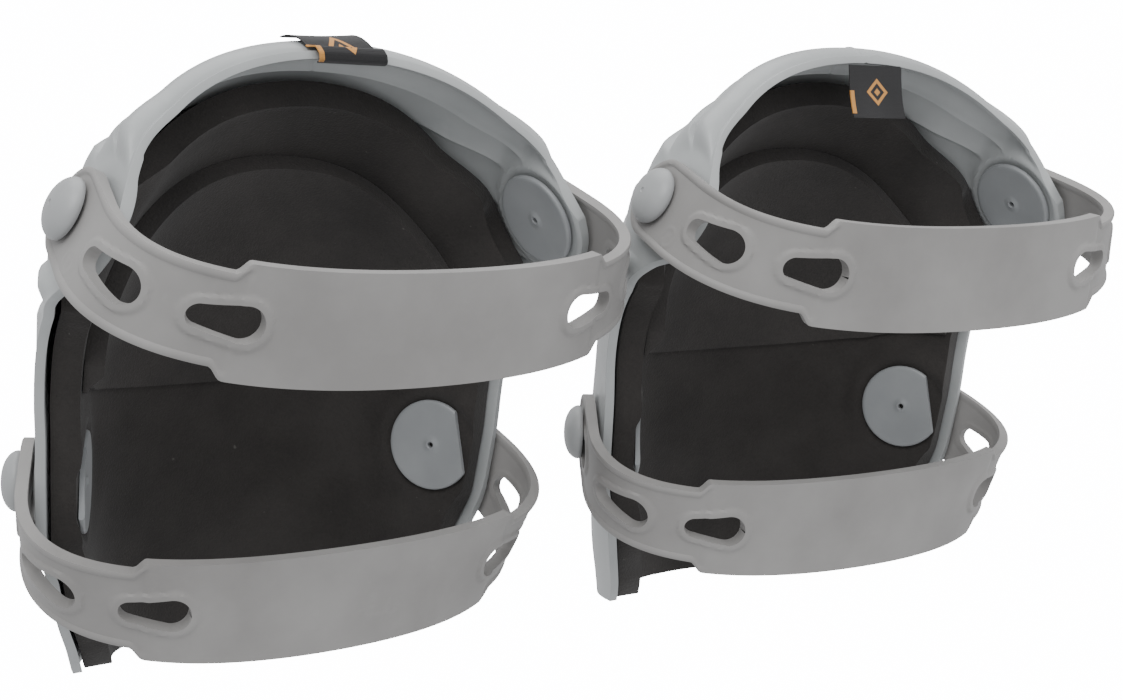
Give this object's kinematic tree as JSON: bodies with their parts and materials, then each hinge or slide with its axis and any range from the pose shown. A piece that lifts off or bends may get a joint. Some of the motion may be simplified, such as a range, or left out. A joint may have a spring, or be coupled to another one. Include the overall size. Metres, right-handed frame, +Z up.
{
  "type": "pair of knee pads",
  "caption": "Pair of flexible moulded knee pads with ribbed hoods, foam liners, and loop straps held by swivelling studs.",
  "frame": {"origin": "centre of the pair's bounding box at the floor", "axes": "+X from the left pad to the right pad, +Y towards the kneeling side, +Z up"},
  "size_m": [0.3728, 0.227, 0.1943],
  "materials": {
    "shell": "satin",
    "liner": "matte",
    "cushion": "matte",
    "strap": "satin",
    "stud": "satin",
    "label": "matte"
  },
  "bodies": {
    "left_pad": {"left_shell": "shell", "left_liner": "liner", "left_knee_cushion": "cushion", "left_label": "label"},
    "left_upper_strap": {"left_upper_strap": "strap"},
    "left_upper_left_stud": {"left_upper_left_flange": "stud", "left_upper_left_button": "stud"},
    "left_upper_right_stud": {"left_upper_right_flange": "stud", "left_upper_right_button": "stud"},
    "left_lower_strap": {"left_lower_strap": "strap"},
    "left_lower_left_stud": {"left_lower_left_flange": "stud", "left_lower_left_button": "stud"},
    "left_lower_right_stud": {"left_lower_right_flange": "stud", "left_lower_right_button": "stud"},
    "right_pad": {"right_shell": "shell", "right_liner": "liner", "right_knee_cushion": "cushion", "right_label": "label"},
    "right_upper_strap": {"right_upper_strap": "strap"},
    "right_upper_left_stud": {"right_upper_left_flange": "stud", "right_upper_left_button": "stud"},
    "right_upper_right_stud": {"right_upper_right_flange": "stud", "right_upper_right_button": "stud"},
    "right_lower_strap": {"right_lower_strap": "strap"},
    "right_lower_left_stud": {"right_lower_left_flange": "stud", "right_lower_left_button": "stud"},
    "right_lower_right_stud": {"right_lower_right_flange": "stud", "right_lower_right_button": "stud"}
  },
  "joints": [
    {"name": "pads_apart", "type": "slide", "parent": "left_pad", "child": "right_pad", "axis": [1, 0, 0], "range_m": [0, 0.15]},
    {"name": "left_upper_strap_swing", "type": "hinge", "parent": "left_pad", "child": "left_upper_strap", "pos_m": [-0.0922, -0.01497, 0.14205], "axis": [0.9987, 0.0506, 0], "range_deg": [-8, 12]},
    {"name": "left_upper_left_stud_swivel", "type": "hinge", "parent": "left_pad", "child": "left_upper_left_stud", "pos_m": [-0.1716, -0.01889, 0.14], "axis": [-0.9133, -0.0655, 0.4019], "continuous": true},
    {"name": "left_upper_right_stud_swivel", "type": "hinge", "parent": "left_pad", "child": "left_upper_right_stud", "pos_m": [-0.01281, -0.01085, 0.14], "axis": [0.9153, 0.0272, 0.4019], "continuous": true},
    {"name": "left_lower_strap_swing", "type": "hinge", "parent": "left_pad", "child": "left_lower_strap", "pos_m": [-0.09521, 0.0444, 0.0647], "axis": [0.9987, 0.0506, 0], "range_deg": [-12, 12]},
    {"name": "left_lower_left_stud_swivel", "type": "hinge", "parent": "left_pad", "child": "left_lower_left_stud", "pos_m": [-0.16939, 0.03829, 0.0643], "axis": [-0.9064, 0.415, 0.0785], "continuous": true},
    {"name": "left_lower_right_stud_swivel", "type": "hinge", "parent": "left_pad", "child": "left_lower_right_stud", "pos_m": [-0.02078, 0.04582, 0.0643], "axis": [0.8599, 0.5045, 0.0785], "continuous": true},
    {"name": "right_upper_strap_swing", "type": "hinge", "parent": "right_pad", "child": "right_upper_strap", "pos_m": [0.09213, -0.05297, 0.14205], "axis": [0.9987, -0.0506, 0], "range_deg": [-8, 12]},
    {"name": "right_upper_left_stud_swivel", "type": "hinge", "parent": "right_pad", "child": "right_upper_left_stud", "pos_m": [0.01274, -0.04885, 0.14], "axis": [-0.9153, 0.0272, 0.4019], "continuous": true},
    {"name": "right_upper_right_stud_swivel", "type": "hinge", "parent": "right_pad", "child": "right_upper_right_stud", "pos_m": [0.17153, -0.05689, 0.14], "axis": [0.9133, -0.0655, 0.4019], "continuous": true},
    {"name": "right_lower_strap_swing", "type": "hinge", "parent": "right_pad", "child": "right_lower_strap", "pos_m": [0.09514, 0.0064, 0.0647], "axis": [0.9987, -0.0506, 0], "range_deg": [-12, 12]},
    {"name": "right_lower_left_stud_swivel", "type": "hinge", "parent": "right_pad", "child": "right_lower_left_stud", "pos_m": [0.02072, 0.00782, 0.0643], "axis": [-0.8599, 0.5045, 0.0785], "continuous": true},
    {"name": "right_lower_right_stud_swivel", "type": "hinge", "parent": "right_pad", "child": "right_lower_right_stud", "pos_m": [0.16933, 0.00029, 0.0643], "axis": [0.9064, 0.415, 0.0785], "continuous": true}
  ]
}
